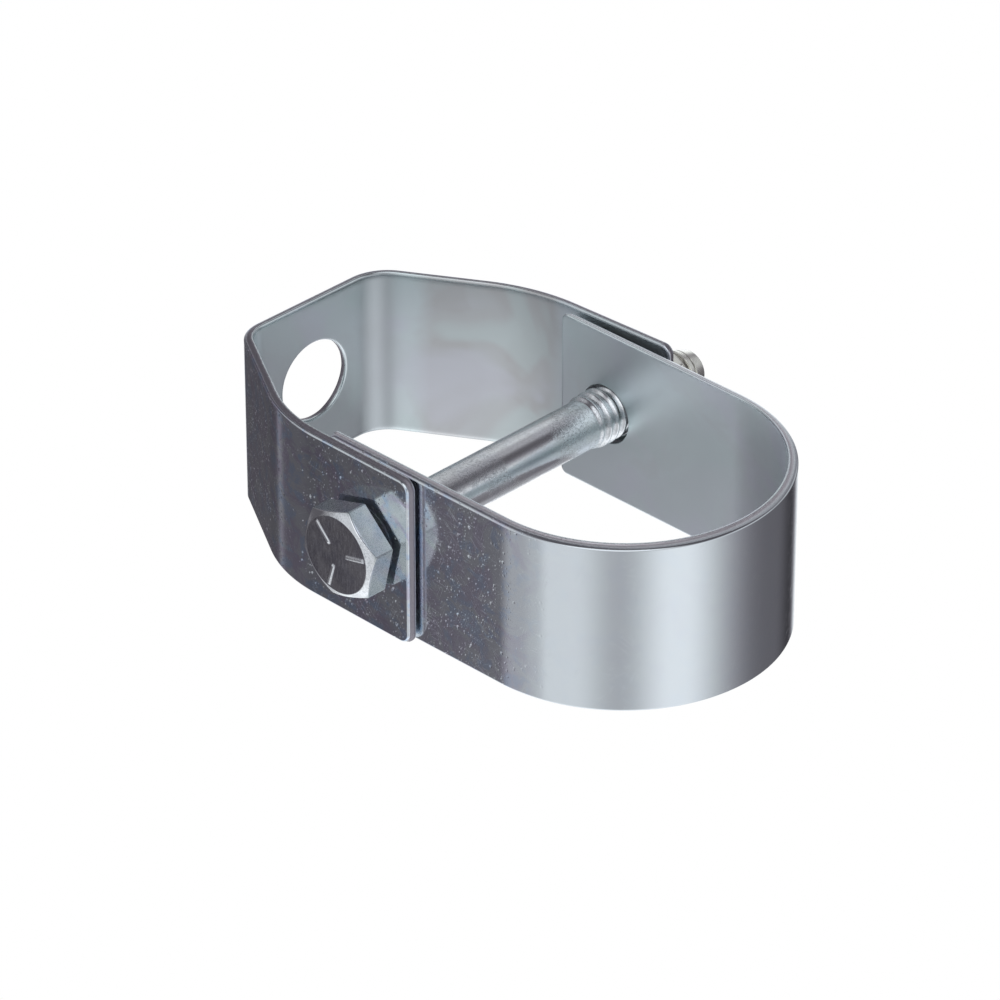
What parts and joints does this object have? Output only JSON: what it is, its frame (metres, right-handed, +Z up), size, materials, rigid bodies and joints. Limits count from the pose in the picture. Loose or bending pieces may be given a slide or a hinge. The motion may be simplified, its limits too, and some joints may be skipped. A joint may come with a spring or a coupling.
{
  "type": "pipe clevis hanger",
  "caption": "Folded steel yoke and round-bottomed strap, joined by a hex bolt and nut, that hang a pipe from a threaded rod.",
  "frame": {"origin": "centre of the rod hole on the yoke's flat top face", "axes": "+Z up along the rod, +X along the cross bolt from its head towards its nut, Y along the pipe"},
  "size_m": [0.0687, 0.0254, 0.0831],
  "materials": {
    "yoke_plate": "smooth zinc plating over cold-rolled steel strip, slightly blue, with bright sheared edges",
    "strap_plate": "smooth zinc plating over cold-rolled steel strip, with bright sheared edges",
    "bolt_plate": "bright zinc plating over rolled and forged steel",
    "nut_plate": "pale zinc plating over forged steel"
  },
  "bodies": {
    "yoke": {"upper_yoke": "yoke_plate"},
    "strap": {"lower_strap": "strap_plate"},
    "bolt": {"cross_bolt": "bolt_plate"},
    "nut": {"hex_nut": "nut_plate"}
  },
  "joints": [
    {"name": "strap_swing", "type": "hinge", "parent": "yoke", "child": "strap", "pos_m": [0, 0, -0.0361], "axis": [1, 0, 0], "range_deg": [-14, 14]},
    {"name": "bolt_turn", "type": "hinge", "parent": "yoke", "child": "bolt", "pos_m": [0, 0, -0.0361], "axis": [1, 0, 0], "continuous": true},
    {"name": "nut_turn", "type": "hinge", "parent": "bolt", "child": "nut", "pos_m": [0, 0, -0.0361], "axis": [1, 0, 0], "continuous": true}
  ]
}
